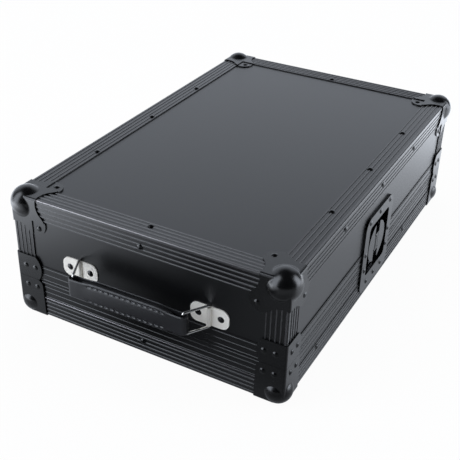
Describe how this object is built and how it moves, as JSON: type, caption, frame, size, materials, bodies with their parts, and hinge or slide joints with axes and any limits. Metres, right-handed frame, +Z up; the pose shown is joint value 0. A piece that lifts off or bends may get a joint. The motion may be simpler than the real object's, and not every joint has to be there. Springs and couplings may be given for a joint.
{
  "type": "flight case",
  "caption": "black flight case for a disc jockey's player: deep hinged lid with ball corners, recessed butterfly latch, padded strap handle on two wire rings, foam-lined inside",
  "frame": {"origin": "middle of the bounding box in plan, at the level of the ground under the four lower ball corners", "axes": "+X towards the side with the latch, +Y away from the handle along the long side, +Z up through the lid"},
  "size_m": [0.3594, 0.5702, 0.1686],
  "materials": {
    "laminate": "smooth black laminate over plywood",
    "profile": "black anodised, satin",
    "corner": "black lacquer, semi-gloss",
    "dish": "black lacquer, semi-gloss",
    "rivet": "black nickel, domed",
    "latch_steel": "zinc plated",
    "hinge_steel": "black lacquer",
    "handle_chrome": "bright plated",
    "strap": "padded black band, stitched",
    "foam": "soft dark lining"
  },
  "bodies": {
    "base": {"base_corner_back_left": "corner", "base_corner_back_right": "corner", "base_corner_front_left": "corner", "base_corner_front_right": "corner", "base_dish": "dish", "base_floor": "laminate", "base_liner": "foam", "base_pad": "foam", "base_profile_back": "profile", "base_profile_front": "profile", "base_profile_left": "profile", "base_profile_right": "profile", "base_rail_ends": "profile", "base_rail_left": "profile", "base_rail_right": "profile", "base_rivets": "rivet", "base_wall_back": "laminate", "base_wall_front": "laminate", "base_wall_left": "laminate", "base_wall_right": "laminate", "hinge_base_leaves": "hinge_steel", "hinge_pins": "hinge_steel", "latch_keeper": "latch_steel", "latch_keeper_rivets": "rivet"},
    "lid": {"handle_bracket_left": "handle_chrome", "handle_bracket_right": "handle_chrome", "handle_rivets": "rivet", "hinge_lid_leaves": "hinge_steel", "lid_braces_back": "corner", "lid_braces_front": "corner", "lid_corner_back_left": "corner", "lid_corner_back_right": "corner", "lid_corner_front_left": "corner", "lid_corner_front_right": "corner", "lid_dish": "dish", "lid_liner": "foam", "lid_pad": "foam", "lid_posts_back": "profile", "lid_posts_front": "profile", "lid_profile_back": "profile", "lid_profile_front": "profile", "lid_profile_left": "profile", "lid_profile_right": "profile", "lid_rail_ends": "profile", "lid_rail_left": "profile", "lid_rail_right": "profile", "lid_rivets": "rivet", "lid_roof": "laminate", "lid_wall_back": "laminate", "lid_wall_front": "laminate", "lid_wall_left": "laminate", "lid_wall_right": "laminate"},
    "latch_rotor": {"latch_rotor": "latch_steel"},
    "latch_wing_back": {"latch_wing_back": "latch_steel"},
    "latch_wing_front": {"latch_wing_front": "latch_steel"},
    "latch_hook": {"latch_hook": "latch_steel"},
    "ring_left": {"handle_ring_left": "handle_chrome"},
    "ring_right": {"handle_ring_right": "handle_chrome"},
    "strap": {"handle_strap": "strap"}
  },
  "joints": [
    {"name": "lid_hinge", "type": "hinge", "parent": "base", "child": "lid", "pos_m": [-0.1765, 0.01344, 0.0542], "axis": [0, -1, 0], "range_deg": [0, 105]},
    {"name": "latch_turn", "type": "hinge", "parent": "lid", "child": "latch_rotor", "pos_m": [0.165, 0.00844, 0.0694], "axis": [1, 0, 0], "range_deg": [0, 180]},
    {"name": "wing_back_fold", "type": "hinge", "parent": "latch_rotor", "child": "latch_wing_back", "pos_m": [0.1722, 0.01264, 0.0694], "axis": [0, 0, -1], "range_deg": [0, 85]},
    {"name": "wing_front_fold", "type": "hinge", "parent": "latch_rotor", "child": "latch_wing_front", "pos_m": [0.1722, 0.00424, 0.0694], "axis": [0, 0, 1], "range_deg": [0, 85]},
    {"name": "hook_slide", "type": "slide", "parent": "lid", "child": "latch_hook", "axis": [-0.3827, 0, 0.9239], "range_m": [0, 0.0076]},
    {"name": "ring_left_swing", "type": "hinge", "parent": "lid", "child": "ring_left", "pos_m": [-0.0832, -0.25216, 0.0884], "axis": [0, 0, 1], "range_deg": [-8, 10]},
    {"name": "strap_turn", "type": "hinge", "parent": "ring_left", "child": "strap", "pos_m": [-0.07068, -0.27964, 0.0884], "axis": [0, 0, 1], "range_deg": [-12.3, 9.8]},
    {"name": "ring_right_swing", "type": "hinge", "parent": "lid", "child": "ring_right", "pos_m": [0.0832, -0.25216, 0.0884], "axis": [0, 0, 1], "range_deg": [-8.7, 10.8]}
  ],
  "couplings": [
    {"joint": "hook_slide", "follows": "latch_turn", "m_per_rad": 0.0024118},
    {"joint": "strap_turn", "follows": "ring_left_swing", "ratio": -1.22},
    {"joint": "ring_right_swing", "follows": "ring_left_swing", "ratio": 1.075}
  ]
}
